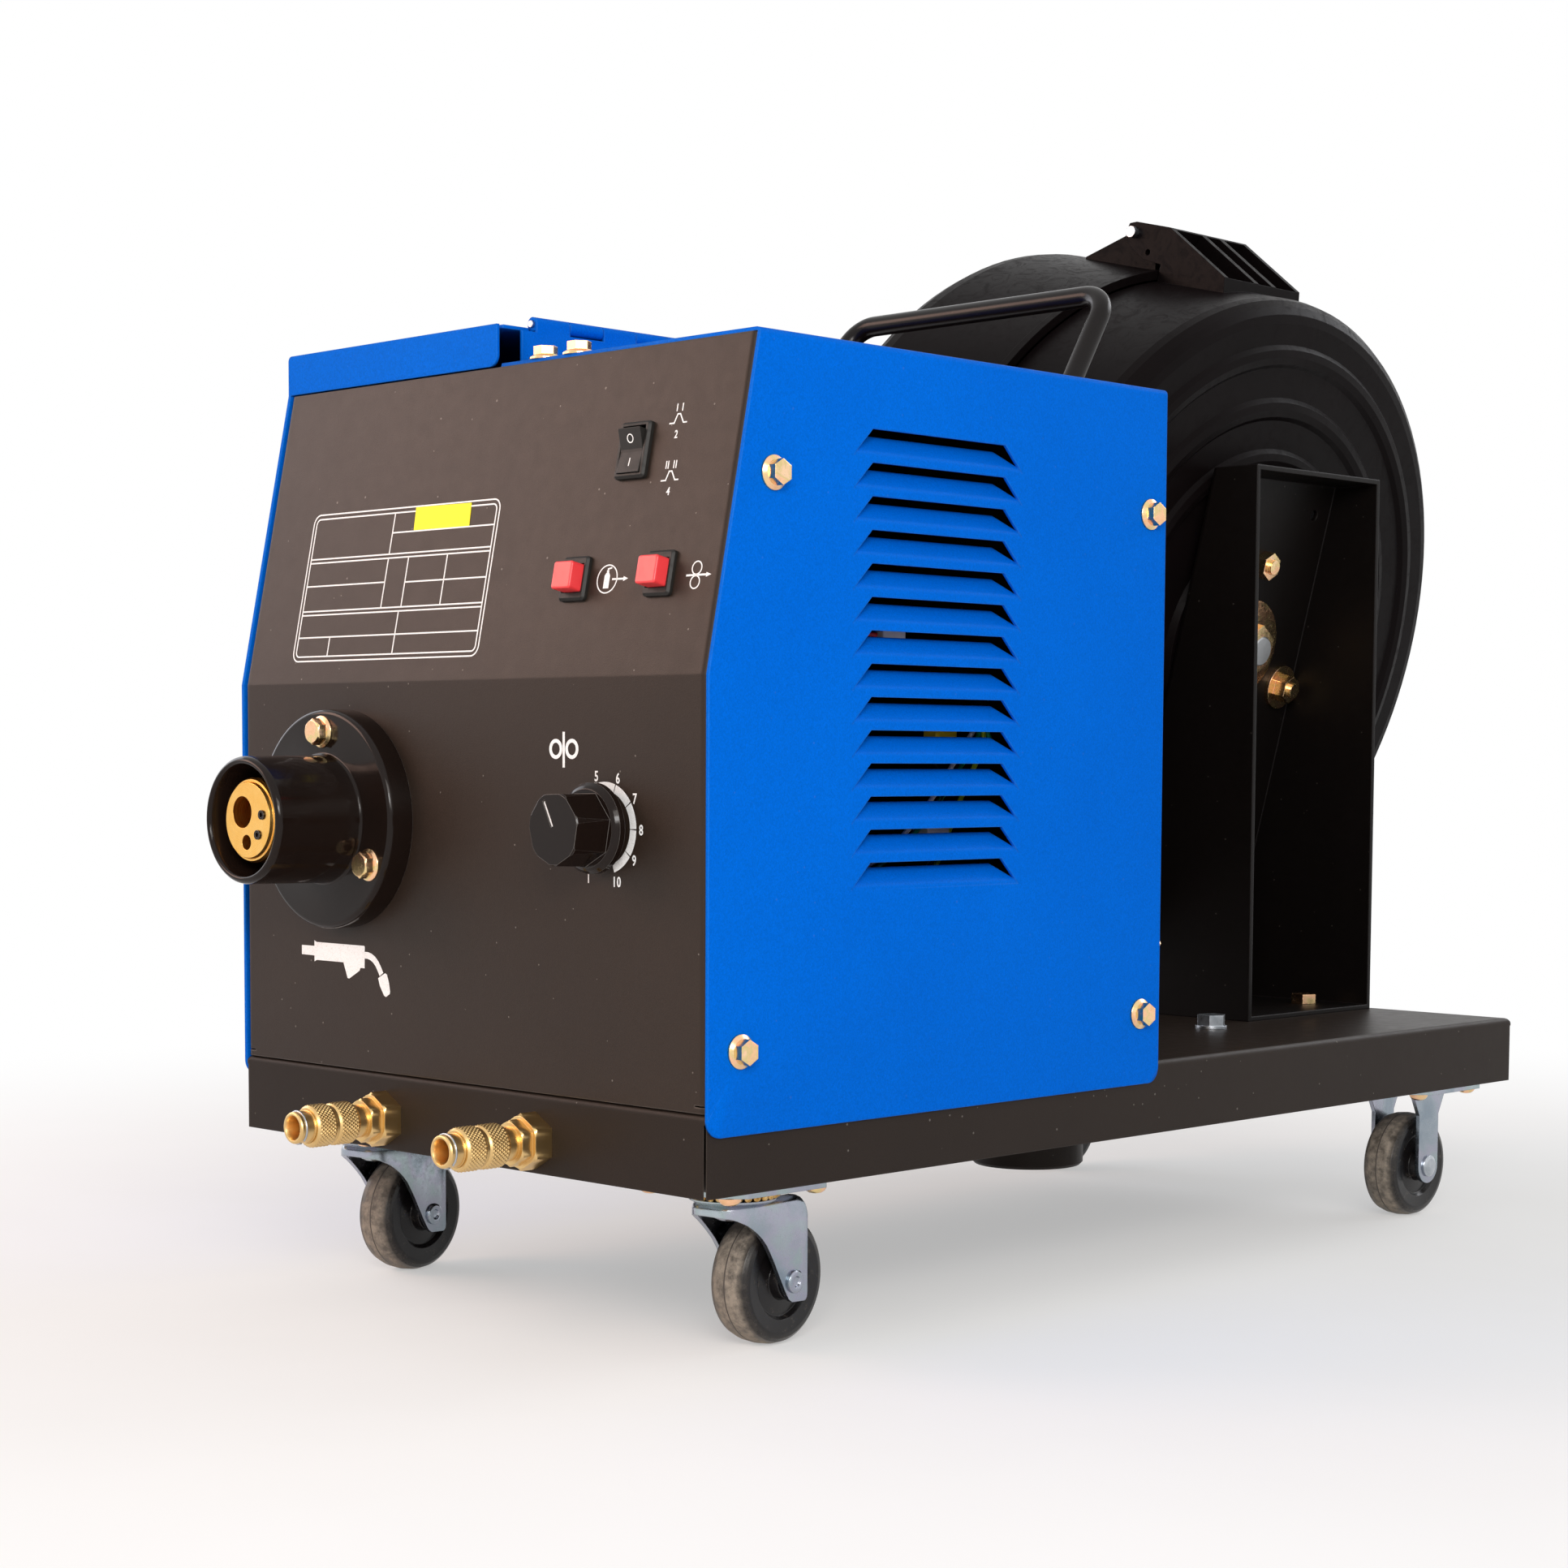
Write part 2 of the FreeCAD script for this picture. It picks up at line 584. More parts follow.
def door():
    """Hinged cover: left side sheet and left half of the top, with a lip all round and its knuckles."""
    low = DECK_Z - 9.5
    z_out = HINGE_Z - 1.5
    z_in = z_out - SHEET
    y0 = front_y(LIP_Z)
    sheet = folded_corner(-4.65, -DOOR_X, low, z_out)
    ends = []
    for a in (y0, BOX_BACK - SHEET):
        end = box(-DOOR_X, -4.65, a, a + SHEET, LIP_Z, z_out)
        end = rounded(end, 5.0, lambda e: straight(e, BACK) and e.BoundBox.XMin > -4.7
                      and e.BoundBox.ZMax < LIP_Z + 0.1)
        ends.append(rounded(end, 2.4, lambda e: straight(e, BACK) and e.BoundBox.XMax < -DOOR_X + 0.1
                            and e.BoundBox.ZMin > z_out - 0.1))
    ahead = box(-200, 0, -1, y0, LIP_Z, z_out + 1)
    body = join([sheet.cut(ahead)] + ends)
    notches = []
    leaves = []
    for k in range(KNUCKLES):
        start = HINGE_START + k * (KNUCKLE_LENGTH + 0.4)
        end = start + KNUCKLE_LENGTH
        if k % 2 == 0:
            notches.append(box(-6.8, 2, start - 0.4, end + 0.4, z_in - 5, z_out + 5))
        else:
            leaves.append(box(-5.0, HINGE_X, start, end, HINGE_Z - 3.0, z_out))
            leaves.append(hinge_tube(k, 3.0))
    body = body.cut(notches)
    body = body.fuse(leaves)
    pull = moved(turned([(0, 0), (0, 6.0), (2.0, 6.0), (3.0, 4.0), (7.0, 4.5), (10.0, 8.0), (12.5, 8.0),
                         (13.5, 6.5), (13.5, 0)], (0, 0, 0), Vector(-1, 0, 0)), -DOOR_X, 150, 118)
    return less(join([body, pull]), [hinge_bore()])


def handle():
    """Round bar bent to a U, leaning back over the drum, its ends bolted to the rear panel."""
    r = 5.0
    bend = 14.0
    y0 = BOX_BACK + r
    points = [Vector(82, y0, 336), Vector(82, y0, 392), Vector(82, 328, 457.5),
              Vector(-82, 328, 457.5), Vector(-82, y0, 392), Vector(-82, y0, 336)]
    bar = bent_bar(points, bend, r)
    pads = []
    for x in (-82, 82):
        pad = rounded(box(x - 9, x + 9, BOX_BACK, BOX_BACK + 4.0, 330, 384), 6.0, lambda e: straight(e, BACK))
        pads.append(pad)
    drills = [rod((x, BOX_BACK - 1, z), BACK, 3.25, 20) for x in (-82, 82) for z in (342, 372)]
    trims = [box(x - 12, x + 12, BOX_BACK + 4.0, BOX_BACK + 30, 320, 380) for x in (-82, 82)]
    return less(join([bar.cut(trims)] + pads), drills)


def bent_bar(points, bend, radius):
    """A round bar along straight runs joined by tangent arcs."""
    edges = []
    start = points[0]
    for a, b, c in zip(points, points[1:], points[2:]):
        before = (b - a).normalize()
        after = (c - b).normalize()
        turn = math.acos(max(-1.0, min(1.0, before.dot(after))))
        cut = bend * math.tan(turn / 2)
        p, q = b - before * cut, b + after * cut
        middle = b + (after - before).normalize() * (bend / math.cos(turn / 2) - bend)
        edges.append(Part.LineSegment(start, p).toShape())
        edges.append(Part.Arc(p, middle, q).toShape())
        start = q
    edges.append(Part.LineSegment(start, points[-1]).toShape())
    path = Part.Wire(edges)
    section = Part.Wire(Part.makeCircle(radius, points[0], (points[1] - points[0]).normalize()))
    return path.makePipeShell([section], True, False)


def build_box():
    save("front_panel", front_panel())
    save("rear_panel", rear_panel())
    save("divider", divider())
    save("right_cover", right_cover())
    save("door", door())
    length = KNUCKLES * (KNUCKLE_LENGTH + 0.4) + 2
    save("door_hinge_pin", rod((HINGE_X, HINGE_START - 1.2, HINGE_Z), BACK, 1.5, length))
    save("carry_handle", handle())
    bolts = [flange_bolt((COVER_X, y, z), RIGHT, 8.0) for y, z in side_bolts()]
    bolts += [flange_bolt((x, y, BOX_TOP), UP, 8.0) for x, y in top_bolts()]
    bolts += [flange_bolt((x, BOX_BACK + 4.0, z), BACK, 10.0) for x in (-82, 82) for z in (342, 372)]
    bolts.append(flange_bolt((143, BOX_BACK, 155.7), BACK, 8.0))
    save("cover_bolts", Part.makeCompound(bolts))



def socket_shroud():
    """Insulating shroud of the torch socket: round flange with sunk bolt pockets, step and tube."""
    here = (SOCKET_X, 0, SOCKET_Z)
    profile = [(0, 47.3), (10.0, 47.3), (12.0, 45.3), (12.0, 31.5), (17.5, 31.0), (19.5, 29.0), (20.5, 27.2),
               (51.5, 26.9), (53.2, 26.2), (54.0, 25.0), (53.4, 23.8), (52.0, 23.3), (14.0, 23.3),
               (14.0, 18.0), (0, 18.0)]
    shape = turned(profile, here, FRONT)
    cuts = []
    for a in (90, -30, -150):
        x = SOCKET_X + 37.5 * math.cos(math.radians(a))
        z = SOCKET_Z + 37.5 * math.sin(math.radians(a))
        cuts.append(rod((x, -12.5, z), BACK, 7.6, 5.5))
        cuts.append(rod((x, -13, z), BACK, 3.3, 20))
    return less(shape, cuts)


def socket_bolts():
    bolts = []
    for a in (90, -30, -150):
        x = SOCKET_X + 37.5 * math.cos(math.radians(a))
        z = SOCKET_Z + 37.5 * math.sin(math.radians(a))
        bolts.append(join([hexagon((x, -7, z), FRONT, 10.0, 4.2), rod((x, -7.5, z), BACK, 3.0, 17.5),
                           hexagon((x, SHEET, z), BACK, 10.0, 5.0)]))
    return Part.makeCompound(bolts)


def socket_body():
    """Brass body of the torch socket: wire and current bore, gas bore and two contact holes."""
    here = (SOCKET_X, 0, SOCKET_Z)
    profile = [(-24, 0), (-24, 13), (-6, 14), (-6, 18), (47.5, 18), (49.0, 17.2), (49.0, 16.4), (50.5, 15.8),
               (50.5, 0)]
    shape = turned(profile, here, FRONT)
    cuts = [rod((WIRE_X, -51, WIRE_Z), BACK, 6.75, 44.5), rod((WIRE_X, -10, WIRE_Z), BACK, 2.0, 40),
            rod((WIRE_X, 14, WIRE_Z), BACK, 4.0, 12),
            rod((SOCKET_X - 1.0, -51, SOCKET_Z - 9.4), BACK, 3.2, 31),
            rod((SOCKET_X - 1.0, -25, SOCKET_Z - 9.4), BACK, 2.0, 55)]
    for x, z in ((10.3, 2.4), (7.3, -6.0)):
        cuts.append(rod((SOCKET_X + x, -51, SOCKET_Z + z), BACK, 2.0, 22))
    return less(shape, cuts)


def contact_pins():
    pins = []
    for x, z in ((10.3, 2.4), (7.3, -6.0)):
        here = (SOCKET_X + x, 0, SOCKET_Z + z)
        pins.append(turned([(30, 0), (30, 2.0), (51.2, 2.0), (51.2, 1.1), (46, 1.1), (46, 0)], here, FRONT))
    return Part.makeCompound(pins)


def knob():
    """Speed knob: thin bevelled skirt, seven-sided cap with a flat face and a pointer groove."""
    here = (KNOB_X, 0, KNOB_Z)
    skirt = turned([(5.6, 0), (5.6, 17.9), (8.2, 17.9), (9.6, 16.6), (10.4, 15.4), (11.0, 0)], here, FRONT)
    cap = turned([(10.0, 0), (10.0, 14.9), (26.4, 14.4), (27.0, 13.9), (27.0, 0)], here, FRONT)
    corners = []
    for k in range(7):
        a = math.radians(POINTER_TURN + 360.0 * k / 7)
        corners.append((KNOB_X + 14.9 * math.cos(a), KNOB_Z + 14.9 * math.sin(a)))
    cap = cap.common(prism_y(corners, -28, -5))
    hollow = rod((KNOB_X, -8.6, KNOB_Z), BACK, 12.0, 10)
    bore = rod((KNOB_X, -22.4, KNOB_Z), BACK, 3.06, 18)
    groove = box(1.0, 12.2, -28, -26.5, -0.65, 0.65)
    groove = placed(groove, Placement(Vector(KNOB_X, 0, KNOB_Z), Rotation(FRONT, POINTER_TURN)))
    return less(join([skirt, cap]), [hollow, bore, groove])


def potentiometer():
    here = (KNOB_X, 0, KNOB_Z)
    shaft = turned([(-15, 0), (-15, 12), (-SHEET, 12), (-SHEET, 4.9), (4.5, 4.9), (4.5, 3.0), (21.5, 3.0),
                    (22.0, 2.5), (22.0, 0)], here, FRONT)
    return join([shaft, hexagon(here, FRONT, 12.0, 2.4)])


def cushion_box(w, h, y0, y1, corner):
    block = box(-w / 2, w / 2, y0, y1, -h / 2, h / 2)
    return rounded(block, corner, lambda e: straight(e, BACK))


def button_housing():
    bezel = cushion_box(15.2, 18.0, -2.4, 0, 1.5)
    bezel = bezel.makeChamfer(1.0, [e for e in bezel.Edges if e.BoundBox.YMax < -2.3])
    shell = cushion_box(13.4, 15.4, -1, 14, 0.8)
    return join([bezel, shell]).cut([box(-5.8, 5.8, -5, 6.5, -5.8, 5.8), box(-4, 4, 3, 12.5, -4, 4)])


def button_cap():
    cap = cushion_box(11.2, 11.2, -8.4, 2.6, 1.2)
    return cap.makeFillet(0.8, [e for e in cap.Edges if e.BoundBox.YMax < -8.3])


def rocker_housing():
    bezel = cushion_box(17.4, 23.0, -2.6, 0, 1.5)
    bezel = bezel.makeChamfer(1.0, [e for e in bezel.Edges if e.BoundBox.YMax < -2.5])
    shell = cushion_box(14.8, 20.8, -1, 15, 0.8)
    return join([bezel, shell]).cut(box(-6.6, 6.6, -5, 9, -9.6, 9.6))


def rocker():
    """Rocker with two faces that meet in a shallow valley; rest is with the upper end standing out."""
    outline = [(-4.4, 8.8), (-2.4, 0.6), (-2.4, -0.6), (-4.4, -8.8), (1.0, -8.2), (4.6, -3.0), (4.6, 3.0),
               (1.0, 8.2)]
    block = prism_x(outline, -6.3, 6.3)
    return placed(block, Placement(Vector(), Rotation(RIGHT, 8.0), Vector(0, 0.8, 0)))


def coupling_body(x):
    """Brass quick coupling: hose tail, wall nut, two hexagons, barrel and nose."""
    here = (x, 0, COUPLING_Z)
    barrel = turned([(-24, 3.4), (-24, 5.0), (-18, 6.0), (-18, 5.0), (-12, 6.0), (-12, 5.2), (-9, 5.2),
                     (-9, 6.5), (14.0, 6.5), (15.0, 7.0), (42.0, 7.0), (42.0, 6.75), (48.2, 6.75), (49.0, 6.0),
                     (49.0, 5.2), (47.5, 4.6), (30, 4.6), (30, 3.4)], here, FRONT)
    big = hexagon(here, FRONT, 20.5, 8.0)
    small = hexagon((x, -8, COUPLING_Z), FRONT, 17.0, 6.0)
    nut = hexagon((x, TRAY_SHEET, COUPLING_Z), BACK, 19.0, 5.0)
    hollow = rod((x, -20, COUPLING_Z), BACK, 6.0, 30)
    return join([barrel, less(join([big, small, nut]), [hollow])])


def coupling_sleeve(x):
    """Sliding sleeve with a middle groove and a thinned edge at each end."""
    return turned([(19.6, 7.06), (19.6, 7.9), (20.6, 8.75), (29.4, 8.75), (30.2, 8.0), (31.6, 8.0), (32.4, 8.75),
                   (40.6, 8.75), (41.6, 7.9), (41.6, 7.06)], (x, 0, COUPLING_Z), FRONT)


def water_hoses():
    """Two hoses under the deck from the couplings' tails to the tails on the rear wall."""
    hoses = []
    for x in COUPLING_X:
        hoses.append(tube((x, 10, COUPLING_Z), BACK, 8.0, 6.0, TRAY_LENGTH - 22))
    return Part.makeCompound(hoses)


def rear_hose_tails():
    tails = []
    for x in COUPLING_X:
        here = (x, TRAY_LENGTH, COUPLING_Z)
        barrel = turned([(-14, 3.4), (-14, 5.4), (-8, 6.0), (-8, 6.5), (5, 6.5), (5, 5.2), (9, 6.2), (9, 5.2),
                         (15, 6.2), (15, 5.2), (21, 5.0), (21, 3.4)], here, BACK)
        flange = hexagon(here, BACK, 17.0, 5.0).cut(rod(here, BACK, 5.0, 6))
        nut = hexagon((x, TRAY_LENGTH - TRAY_SHEET, COUPLING_Z), FRONT, 17.0, 4.0)
        nut = nut.cut(rod((x, TRAY_LENGTH, COUPLING_Z), FRONT, 5.0, 8))
        tails.append(join([barrel, flange, nut]))
    return Part.makeCompound(tails)


def build_fittings():
    save("socket_shroud", socket_shroud())
    save("socket_bolts", socket_bolts())
    save("socket_body", socket_body())
    save("contact_pins", contact_pins())
    save("speed_knob", knob())
    save("speed_potentiometer", potentiometer())
    housings = [on_panel(button_housing(), x, z) for x, z in ((67.5, 309.1), (116.7, 309.3))]
    save("button_housings", Part.makeCompound(housings))
    save("gas_test_button", on_panel(button_cap(), 67.5, 309.1))
    save("wire_inch_button", on_panel(button_cap(), 116.7, 309.3))
    save("rocker_housing", on_panel(rocker_housing(), 91.1, 358.8))
    save("stroke_rocker", on_panel(rocker(), 91.1, 358.8))
    for side, x in zip(("right", "left"), COUPLING_X):
        save("coupling_body_" + side, coupling_body(x))
        save("coupling_sleeve_" + side, coupling_sleeve(x))
    save("water_hoses", water_hoses())
    save("rear_hose_tails", rear_hose_tails())



def gear(y, z, x0, x1, offset):
    """Spur gear along X: involute teeth cut slightly thin for backlash, flanks as one chord each."""
    pitch = GEAR_MODULE * GEAR_TEETH / 2.0
    base = pitch * math.cos(math.radians(20))
    tip, low, root = pitch + 1.05, 14.3, pitch - 1.45
    flat = math.tan(math.radians(20)) - math.radians(20)

    def half(radius):
        press = math.acos(base / radius)
        return math.pi / (2 * GEAR_TEETH) * 0.9 + flat - (math.tan(press) - press)

    points = []
    for k in range(GEAR_TEETH):
        middle = math.radians(90 + offset + 360.0 / GEAR_TEETH * k)
        for side in (-1, 1):
            flank = [(root, half(low) + 0.012), (low, half(low)), (tip, half(tip))]
            if side == 1:
                flank.reverse()
            for radius, angle in flank:
                a = middle + side * angle
                points.append((y + radius * math.cos(a), z + radius * math.sin(a)))
    return prism_x(points, x0, x1)


def feed_roll(z, offset, inner):
    """Grooved roll and its gear in one piece; inner is the bore radius, 0 for the driven roll."""
    x = WIRE_X
    here = (0, ROLL_Y, z)
    roll = turned([(x - 6.0, 0), (x - 6.0, 14.0), (x - 5.4, 14.6), (x - 0.9, 14.6), (x, 13.8), (x + 0.9, 14.6),
                   (x + 6.0, 14.6), (x + 6.0, 0)], here, RIGHT)
    shape = join([roll, gear(ROLL_Y, z, x + 6.0, x + 14.0, offset)])
    if inner:
        return shape.cut(rod((x - 10, ROLL_Y, z), RIGHT, inner, 40))
    shaft = rod((x + 13.0, ROLL_Y, z), RIGHT, 6.0, 21.0)
    cap = turned([(x - 12.0, 0), (x - 12.0, 5.0), (x - 11.0, 6.0), (x - 7.5, 6.0), (x - 7.5, 9.0), (x - 6.0, 9.0),
                  (x - 6.0, 0)], here, RIGHT)
    return join([shape, shaft, cap])


ARM_PIVOT = (170.0, 226.0)
LEVER_PIVOT = (84.0, 196.0)
PLATE_FACE = -50.0


def drive_plate():
    """Cast plate of the wire drive with the arm's and the lever's pivot pins and the inlet boss."""
    outline = [(70, 166), (78, 160), (186, 160), (196, 170), (196, 240), (186, 252), (150, 256), (112, 256),
               (76, 236), (66, 210), (66, 172)]
    plate = prism_x(outline, PLATE_FACE, PLATE_FACE + 12.0)
    y, z = ARM_PIVOT
    arm_pin = turned([(-1, 0), (-1, 4.0), (15.0, 4.0), (15.0, 6.5), (16.6, 6.5), (17.2, 5.5), (17.2, 0)],
                     (PLATE_FACE, y, z), Vector(-1, 0, 0))
    y, z = LEVER_PIVOT
    lever_pin = turned([(-1, 0), (-1, 5.5), (3.0, 5.5), (3.0, 3.0), (12.4, 3.0), (12.4, 5.0), (14.0, 5.0),
                        (14.0, 0)], (PLATE_FACE, y, z), Vector(-1, 0, 0))
    boss = rounded(box(-90, PLATE_FACE + 1, 182, 194, 206, 224), 5.0,
                   lambda e: straight(e, BACK) and e.BoundBox.XMax < -89)
    cuts = [rod((PLATE_FACE - 1, ROLL_Y, WIRE_Z - 15.0), RIGHT, 6.07, 14.0), rod((WIRE_X, 180, WIRE_Z), BACK, 4.0, 16)]
    return less(join([plate, arm_pin, lever_pin, boss]), cuts)


def gear_motor():
    """Gearbox flange-mounted on the divider with the motor behind it."""
    z = WIRE_Z - 15.0
    case = box(PLATE_FACE + 12.0, -3.0, 90, 154, 168, 232)
    case = rounded(case, 7.0, lambda e: straight(e, RIGHT))
    can = turned([(-4, 0), (-4, 30), (58, 30), (60, 29), (86, 29), (90, 26), (90, 9), (94, 8), (94, 0)],
                 (0, ROLL_Y, z), RIGHT)
    slot = rod((PLATE_FACE + 11, ROLL_Y, z), RIGHT, 8.0, 8.0)
    return join([case, can]).cut(slot)


def pressure_arm():
    """Swinging arm over the rolls: eye at the rear, roll pin in the middle, open fork at the nose."""
    x0, x1 = PLATE_FACE - 14.5, PLATE_FACE - 0.4
    y, z = ARM_PIVOT
    outline = [(170, 216), (150, 215), (134, 217.5), (108, 217.5), (92, 224), (78, 226), (78, 238), (92, 240),
               (106, 245), (124, 247), (150, 240), (172, 236)]
    body = prism_x(outline, x0, x1)
    body = rounded(body, 1.2, lambda e: e.BoundBox.XLength < 0.01 and e.BoundBox.ZMax > 239
                   and e.BoundBox.YMax < 151 and e.BoundBox.ZLength < 8 and e.BoundBox.XMin < x0 + 1)
    eye = rod((x0, y, z), RIGHT, 10.0, x1 - x0)
    pin = turned([(-1, 0), (-1, 4.0), (23.4, 4.0), (23.4, 6.5), (25.4, 6.5), (26.0, 5.5), (26.0, 0)],
                 (x0, ROLL_Y, WIRE_Z + 15.0), Vector(-1, 0, 0))
    cuts = [rod((x0 - 1, y, z), RIGHT, 4.06, 20), box(-61.3, -53.7, 70, 92, 220, 250)]
    return less(join([body, eye, pin]), cuts)


def tension_lever():
    """Tension lever, swung forward off the arm: eye, spindle, spring cup and ribbed grip."""
    x = -57.5
    eye = rod((x - 4.0, 0, 0), RIGHT, 7.0, 8.0)
    spindle = rod((x, 0, 5), UP, 3.0, 50)
    grip = turned([(44, 0), (44, 7.0), (54, 7.0), (54, 9.0), (78, 8.0), (81, 6.0), (81, 0)], (x, 0, 0), UP)
    flutes = []
    for k in range(6):
        a = math.radians(60 * k)
        flutes.append(rod((x + 10.5 * math.cos(a), 10.5 * math.sin(a), 56), UP, 3.0, 30))
    shape = less(join([eye, spindle, grip]), flutes + [rod((x - 5, 0, 0), RIGHT, 3.06, 10)])
    return placed(shape, Placement(Vector(0, LEVER_PIVOT[0], LEVER_PIVOT[1]), Rotation(RIGHT, 50.0)))


def wire_guides():
    """Outlet tube into the torch socket and inlet tube with its gland through the rear panel."""
    here = (WIRE_X, 0, WIRE_Z)
    outlet = turned([(14, 0.9), (14, 4.0), (100, 4.0), (108, 1.8), (108, 0.9)], here, BACK)
    back = BOX_BACK
    inlet = turned([(136, 0.9), (136, 1.8), (144, 4.0), (264, 4.0), (264, 8.0), (back, 8.0), (back, 13.0),
                    (back + 3, 13.0), (back + 3, 9.0), (back + 20, 8.0), (back + 20, 3.0), (back + 4, 3.0),
                    (back + 4, 0.9)], here, BACK)
    nut = hexagon((WIRE_X, back - SHEET, WIRE_Z), FRONT, 20.0, 7.0).cut(rod((WIRE_X, 250, WIRE_Z), BACK, 5.0, 40))
    return Part.makeCompound([outlet, join([inlet, nut])])


def circuit_board():
    """Control board on the divider, with its main components."""
    board = box(12.0, 13.6, 66, 226, 262, 382)
    parts = [board]
    for y in (74, 218):
        for z in (270, 374):
            parts.append(rod((-1.5, y, z), RIGHT, 3.0, 16.5))
    parts.append(box(13.0, 40, 78, 112, 276, 318))
    parts.append(box(13.0, 30, 150, 206, 330, 366))
    parts.append(box(13.0, 24, 84, 120, 352, 372))
    for y, z in ((136, 284), (158, 284), (136, 308), (158, 308)):
        parts.append(rod((13, y, z), RIGHT, 8.0, 26))
    for k in range(4):
        parts.append(box(13, 24, 184 + 9 * k, 190 + 9 * k, 272, 300))
    return join(parts)


def gas_valve():
    """Solenoid valve with its inlet nipple through the rear panel and the hose stub."""
    body = box(GAS_X - 14, GAS_X + 14, 222, 262, GAS_Z - 42, GAS_Z + 16)
    coil = rod((GAS_X, 242, GAS_Z + 16), UP, 14.0, 22)
    inlet = turned([(-1, 0), (-1, 8.5), (18.8, 8.5), (18.8, 6.0), (20.3, 6.0), (20.3, 9.0), (25, 9.0), (25, 5.0),
                    (30, 5.8), (30, 5.0), (36, 5.8), (36, 5.0), (42, 4.6), (42, 2.4), (10, 2.4), (10, 0)],
                   (GAS_X, 262, GAS_Z), BACK)
    stub = rod((86, 230, GAS_Z - 30), RIGHT, 4.0, 11)
    return join([body, coil, inlet, stub])


def gas_hose():
    """Hose from the valve through the divider to the torch socket, clipped along its whole way."""
    points = [Vector(86, 230, GAS_Z - 30), Vector(34, 230, GAS_Z - 30), Vector(10, 230, 140), Vector(-32, 230, 140),
              Vector(-32, 58, 140), Vector(-76.5, 50, 202.1), Vector(-76.5, 24, 202.1)]
    return bent_bar(points, 16.0, 4.4)


def power_inlet():
    """Male power stud in its collar on the rear panel, with the strap to the drive plate."""
    x, z = POWER_X, POWER_Z
    stud = turned([(240, 0), (240, 9), (256, 9), (256, 11), (264, 11), (264, 17), (BOX_BACK, 17), (BOX_BACK, 22),
                   (287, 22), (287, 18), (308, 18), (308, 15), (288, 15), (288, 6.5), (309, 6.5), (310, 5.5),
                   (310, 0)], (x, 0, z), BACK)
    points = [Vector(x, 248, z), Vector(-45, 248, z), Vector(-45, 218, 176), Vector(-45, 196, 176)]
    return join([stud, bent_bar(points, 12.0, 5.5)])


def control_socket():
    return turned([(258, 0), (258, 10.5), (272, 12), (BOX_BACK, 12), (BOX_BACK, 16), (285, 16), (285, 13.5),
                   (297, 13.5), (297, 11), (286, 11), (286, 0)], (CONTROL_X, 0, CONTROL_Z), BACK)


def upright():
    """Post folded from sheet: leaning web, two upright side flanges, top flange and foot."""
    slope = math.tan(math.radians(DRUM_LEAN))
    t = 2.5

    def web_x(z):
        return DRUM_ORIGIN.x + (z - DRUM_ORIGIN.z) * slope

    top, out = 390.0, 68.0
    outer = prism_y([(web_x(DECK_Z), DECK_Z), (web_x(top), top), (out, top), (out, DECK_Z)], POST_FRONT, POST_BACK)
    outer = rounded(outer, 3.5, lambda e: e.BoundBox.YLength < 0.01 and e.BoundBox.ZLength > 250
                    and e.BoundBox.XMin < 0)
    shift = t / math.cos(math.radians(DRUM_LEAN))
    low, high = DECK_Z + t, top - t
    inner = prism_y([(web_x(low) + shift, low), (web_x(high) + shift, high), (out + 5, high), (out + 5, low)],
                    POST_FRONT + t, POST_BACK - t)
    holes = [rod((FOOT_BOLT_X, y, low - 5), UP, 4.3, 8) for y in FOOT_BOLT_Y]
    drum_holes = [rod((-1, 0, 0), RIGHT, 8.3, 5)]
    for y, z in drum_bolt_places():
        drum_holes.append(rod((-1, y, z), RIGHT, 4.3, 5))
    for y in (-38, 38):
        drum_holes.append(rod((-1, y, 74), RIGHT, 3.0, 5))
    return less(outer, [inner] + holes + [on_drum(h) for h in drum_holes])


def drum_bolt_places():
    turns = [math.radians(a) for a in DRUM_BOLT_ANGLES]
    return [(DRUM_BOLT_R * math.cos(a), DRUM_BOLT_R * math.sin(a)) for a in turns]


def arc_points(cx, cr, radius, start, end, steps):
    """Points on a quarter bend of the drum's (x, radius) profile; angles from +x towards +radius."""
    points = []
    for k in range(steps + 1):
        a = math.radians(start + (end - start) * k / steps)
        points.append((cx + radius * math.cos(a), cr + radius * math.sin(a)))
    return points


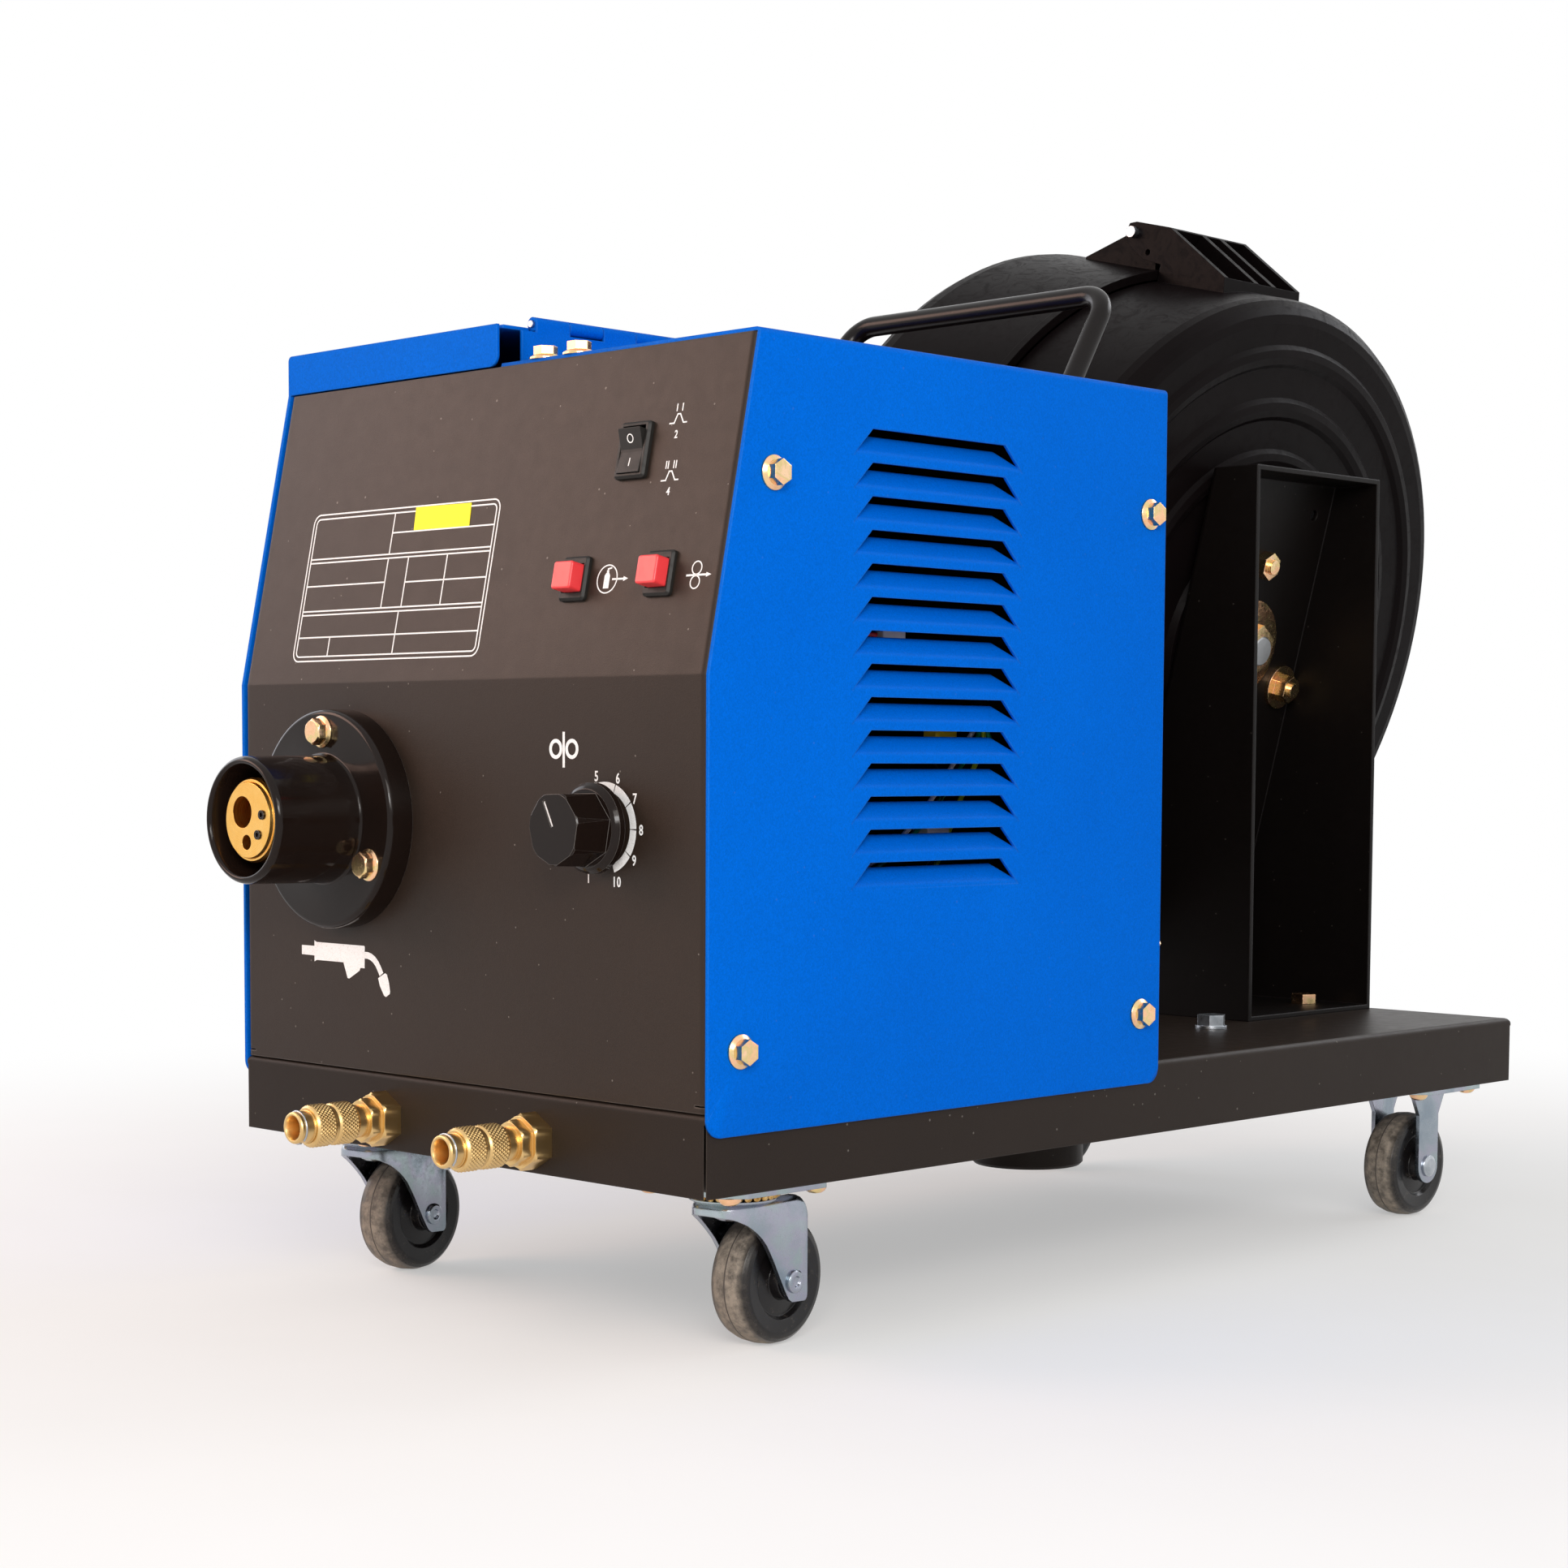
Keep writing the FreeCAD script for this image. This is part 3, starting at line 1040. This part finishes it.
def drum_shell():
    """Fixed half of the drum: dished plate with three raised rings, short rim and the hinge lug."""
    face = DRUM_FACE_X
    w = SHELL_WALL
    r = RIGHT_SHELL_R
    outside = [(0, 8.3), (0, 60), (face, 62)]
    for ring in (100, 127, 154.5):
        outside += [(face, ring - 6), (face + 2.1, ring - 3.8), (face + 2.9, ring), (face + 2.1, ring + 3.8),
                    (face, ring + 6)]
    outside += arc_points(face - 12, r - 12, 12, 0, 90, 4)
    outside += [(SEAM_X, r), (SEAM_X, r - w)]
    outside += arc_points(face - 12, r - 12, 12 - w, 90, 0, 3)
    outside += [(face - w, 8.3)]
    shell = turned(outside, (0, 0, 0), RIGHT)
    near = SEAM_X + 0.2
    ridge = [(-101, 209.3), (-78, 209), (-36, 188.5), (-34, 178)]
    plate = [(near, 178), (near, 189.2), (-92, 190.5), (-98, 193.5), (-106, 199), (-107, 203.5), (-105.5, 208)]
    middle = [(near, 178), (near, 191.6), (-97, 199.5), (-106, 201), (-107, 203.5), (-105.5, 208)]
    block = [(near, 178), (near, 191.6), (-92.5, 197), (-92.5, 209.2)]
    lug = join([prism_y(plate + ridge, -34.5, -23), prism_y(plate + ridge, 23, 34.5),
                prism_y(middle + ridge, -7.4, 7.4), prism_y(block + ridge[1:], -23.5, 23.5)])
    channels = []
    for y0, y1 in ((-31, -7.5), (-3.5, 8.5), (12.5, 31)):
        channels.append(prism_y([(-74, 214), (-30, 192.5), (-44, 182.5), (-80, 201)], y0, y1))
    channels.append(rod((-89.6, -36, 194.4), BACK, 1.6, 14))
    lug = lug.cut(channels + [rod((0, 0, 0), Vector(-1, 0, 0), r - 1, 120)])
    shape = join([shell, lug])
    cuts = [rod((PIN_X, -36, PIN_Z), BACK, 3.0, 72)]
    cuts += [rod((-10, y, z), RIGHT, 4.3, 15) for y, z in drum_bolt_places()]
    return on_drum(less(shape, cuts))


def drum_cover():
    """Hinged half of the drum: deep cup with a beaded rim and two hinge arms."""
    w = SHELL_WALL
    r = LEFT_SHELL_R
    x0 = SEAM_X - 0.5
    back = DRUM_BACK_X
    profile = [(x0, r - w), (x0, r + 1.6), (x0 - 4.5, r + 1.6), (x0 - 5.5, r)]
    profile += arc_points(back + 20, r - 20, 20, 90, 180, 5)
    profile += [(back, 0), (back + w, 0)]
    profile += arc_points(back + 20, r - 20, 20 - w, 180, 90, 4)
    shell = turned(profile, (0, 0, 0), RIGHT)
    arms = []
    for y0, y1 in ((-22.4, -8.0), (8.0, 22.4)):
        outline = [(-90, 180), (-95.2, 201.5), (-96.5, 206.8), (-99.2, 209.2), (-103.2, 209.1), (-141, 187.0),
                   (-141, 180)]
        arms.append(prism_y(outline, y0, y1))
        arms.append(rod((PIN_X, y0, PIN_Z), BACK, 6.0, y1 - y0))
    inside = rod((0, 0, 0), Vector(-1, 0, 0), r - 1, 160)
    arms = join(arms).cut(inside)
    return on_drum(join([shell, arms]).cut(rod((PIN_X, -60, PIN_Z), BACK, 3.06, 120)))


def spool_axle():
    shape = turned([(15.0, 0), (15.0, 7.4), (14.4, 8.0), (-6.5, 8.0), (-6.5, 20), (-9.5, 20), (-9.5, 8.0),
                    (-131.5, 8.0), (-131.5, 6.0), (-143, 6.0), (-143, 0)], (0, 0, 0), RIGHT)
    washer = rod((-133.4, 0, 0), RIGHT, 14.0, 1.6)
    nut = hexagon((-140.4, 0, 0), RIGHT, 17.0, 7.0)
    return on_drum(join([shape, washer, nut]))


def spool_hub():
    """Braked hub: flange with a drive pin, ribbed barrel and an end boss."""
    hub = turned([(-12.2, 8.06), (-12.2, 51), (-15.2, 52), (-16.2, 51), (-16.2, 25), (-118, 25), (-121, 22.5),
                  (-121, 16), (-131.2, 15), (-131.2, 8.06)], (0, 0, 0), RIGHT)
    pin = turned([(-15, 0), (-15, 4.9), (-27, 4.9), (-29, 3.2), (-29, 0)], (0, 0, 44.5), RIGHT)
    return on_drum(join([hub, pin]))


def drum_bolts():
    """Three bolts with nuts and the axle nut on the post's web, and the two foot bolts."""
    bolts = []
    for k, (y, z) in enumerate(drum_bolt_places()):
        wide = k == 2
        reach = 5.0 if wide else 2.5
        head = turned([(-6.5, 0), (-6.5, 7.0), (-8.5, 7.0), (-10.6, 4.5), (-10.6, 0)], (0, y, z), RIGHT)
        pieces = [head, rod((-7, y, z), RIGHT, 4.0, reach + 16.0), hexagon((reach, y, z), RIGHT, 13.0, 6.8)]
        if wide:
            pieces.append(rod((2.5, y, z), RIGHT, 12.0, 2.5))
        bolts.append(join(pieces))
    centre = tube((2.5, 0, 0), RIGHT, 26.0, 8.0, 2.0)
    nut = hexagon((4.5, 0, 0), RIGHT, 24.0, 8.0).cut(rod((4, 0, 0), RIGHT, 8.0, 12))
    bolts.append(join([centre, nut]))
    foot = []
    x = FOOT_BOLT_X
    for y in FOOT_BOLT_Y:
        foot.append(join([hexagon((x, y, DECK_Z + 2.5), UP, 13.0, 5.3), rod((x, y, 92), UP, 4.0, 14),
                          hexagon((x, y, 94.2), UP, 13.0, 6.8)]))
    return Part.makeCompound([on_drum(b) for b in bolts] + foot)


def build_drive():
    save("drive_plate", drive_plate())
    save("gear_motor", gear_motor())
    save("drive_roll", feed_roll(WIRE_Z - 15.0, 0.0, 0))
    save("pressure_roll", feed_roll(WIRE_Z + 15.0, 180.0 / GEAR_TEETH, 4.06))
    save("pressure_arm", pressure_arm())
    save("tension_lever", tension_lever())
    save("wire_guides", wire_guides())
    save("circuit_board", circuit_board())
    save("gas_valve", gas_valve())
    save("gas_hose", gas_hose())
    save("power_inlet", power_inlet())
    save("control_socket", control_socket())


def build_drum():
    save("upright", upright())
    save("drum_shell", drum_shell())
    save("drum_cover", drum_cover())
    save("drum_hinge_pin", on_drum(rod((PIN_X, -38.5, PIN_Z), BACK, 3.0, 77)))
    save("spool_axle", spool_axle())
    save("spool_hub", spool_hub())
    save("drum_bolts", drum_bolts())


build_base()
build_box()
build_fittings()
build_drive()
build_drum()
